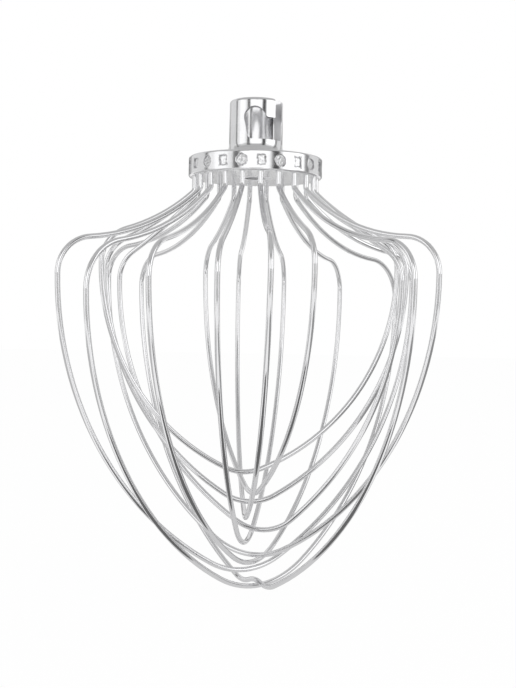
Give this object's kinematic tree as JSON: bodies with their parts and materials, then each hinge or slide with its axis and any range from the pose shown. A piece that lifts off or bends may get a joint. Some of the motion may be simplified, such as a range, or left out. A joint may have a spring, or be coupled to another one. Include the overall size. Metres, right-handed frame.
{
  "type": "stand mixer wire whisk",
  "caption": "Balloon wire whisk for a stand mixer: bent steel wire loops staked into a ring under a cylindrical drive socket with a J-shaped bayonet slot.",
  "frame": {"origin": "middle of the drive socket's mouth, on the axis of its bore", "axes": "+Z along the bore, out of the socket's mouth to the mixer; -Y out through the locking end of the bayonet slot"},
  "size_m": [0.1316, 0.1437, 0.1829],
  "materials": {
    "hub_steel": "polished stainless steel, turned and milled",
    "wire_steel": "polished drawn stainless wire"
  },
  "bodies": {
    "root": {"hub": "hub_steel", "wire_01": "wire_steel", "wire_02": "wire_steel", "wire_03": "wire_steel", "wire_04": "wire_steel", "wire_05": "wire_steel", "wire_06": "wire_steel", "wire_07": "wire_steel", "wire_08": "wire_steel", "wire_09": "wire_steel", "wire_10": "wire_steel", "wire_11": "wire_steel"}
  },
  "joints": []
}
